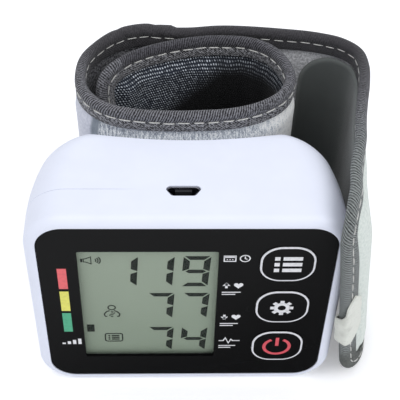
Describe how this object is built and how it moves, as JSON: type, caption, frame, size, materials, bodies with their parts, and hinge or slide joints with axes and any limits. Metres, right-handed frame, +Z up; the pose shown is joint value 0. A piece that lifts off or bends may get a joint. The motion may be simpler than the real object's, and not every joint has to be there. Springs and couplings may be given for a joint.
{
  "type": "wrist blood pressure monitor",
  "caption": "Home wrist blood pressure monitor: a white case with a black display panel and keys, on a rolled fabric cuff with a closing flap.",
  "frame": {"origin": "middle of the case's flat underside, on the surface it stands on", "axes": "+Z up, -Y the way the display faces, +X to the right seen from the front"},
  "size_m": [0.0851, 0.0693, 0.066],
  "materials": {
    "white_case": "smooth satin gloss white with a cool tint",
    "black_panel": "polished black",
    "clear_window": "clear polished window",
    "lcd": "green grey reflective display",
    "grey_plastic": "plain moulded",
    "dark_plastic": "plain moulded",
    "dark_rubber": "matt",
    "circuit_board": "solder mask",
    "steel": "plated",
    "silicone": "milky, soft",
    "cell_wrap": "plain wrap",
    "cover_fabric": "brushed light grey heather",
    "lining_fabric": "dark knit",
    "binding_tape": "charcoal twill tape with pale stitches",
    "hook_tape": "dark hook pile",
    "white_tape": "off white woven tape"
  },
  "bodies": {
    "monitor": {"front_shell": "white_case", "rear_shell": "white_case", "front_panel": "black_panel", "display_window": "clear_window", "lcd_glass": "lcd", "lcd_holder": "grey_plastic", "zebra_strip": "dark_rubber", "main_board": "circuit_board", "usb_socket": "steel", "usb_tongue": "dark_plastic", "battery_cell": "cell_wrap", "speaker": "dark_plastic", "pressure_sensor": "grey_plastic", "pump_motor": "steel", "pump_head": "dark_plastic", "pump_diaphragm": "dark_rubber", "valve_body": "steel", "valve_spring": "steel", "air_manifold": "grey_plastic", "cuff_nipple": "grey_plastic", "pump_tube": "silicone", "valve_tube": "silicone", "sensor_tube": "silicone", "cuff_tube": "silicone", "cuff_plate": "dark_plastic", "cuff_cover": "cover_fabric", "cuff_lining": "lining_fabric", "air_bladder": "dark_rubber", "cuff_curler": "grey_plastic", "cuff_binding": "binding_tape", "case_screw_1": "steel", "case_screw_2": "steel", "case_screw_3": "steel", "case_screw_4": "steel", "board_screw_1": "steel", "plate_screw_1": "steel", "board_screw_2": "steel", "plate_screw_2": "steel", "power_switch": "dark_plastic", "set_switch": "dark_plastic", "memory_switch": "dark_plastic"},
    "flap": {"flap_cover": "cover_fabric", "flap_lining": "lining_fabric", "flap_binding": "binding_tape", "hook_patch": "hook_tape", "pull_tab": "white_tape"},
    "pump_rotor": {"pump_crank": "steel"},
    "valve_armature": {"valve_plunger": "steel"},
    "memory_key": {"memory_button": "black_panel", "memory_switch_stem": "grey_plastic"},
    "set_key": {"set_button": "black_panel", "set_switch_stem": "grey_plastic"},
    "power_key": {"power_button": "black_panel", "power_switch_stem": "grey_plastic"}
  },
  "joints": [
    {"name": "memory_press", "type": "slide", "parent": "monitor", "child": "memory_key", "axis": [0, 1, 0], "range_m": [0, 0.0004], "stiffness_N_per_m": 800},
    {"name": "set_press", "type": "slide", "parent": "monitor", "child": "set_key", "axis": [0, 1, 0], "range_m": [0, 0.0004], "stiffness_N_per_m": 800},
    {"name": "power_press", "type": "slide", "parent": "monitor", "child": "power_key", "axis": [0, 1, 0], "range_m": [0, 0.0004], "stiffness_N_per_m": 800},
    {"name": "flap_open", "type": "hinge", "parent": "monitor", "child": "flap", "pos_m": [0.02461, 0.04633, 0.033], "axis": [0, 0, 1], "range_deg": [0, 80]},
    {"name": "pump_spin", "type": "hinge", "parent": "monitor", "child": "pump_rotor", "pos_m": [-0.005, 0.0032, 0.0165], "axis": [1, 0, 0], "continuous": true},
    {"name": "valve_lift", "type": "slide", "parent": "monitor", "child": "valve_armature", "axis": [0, 0, 1], "range_m": [0, 0.001], "stiffness_N_per_m": 200, "deforming": ["valve_spring"]}
  ]
}
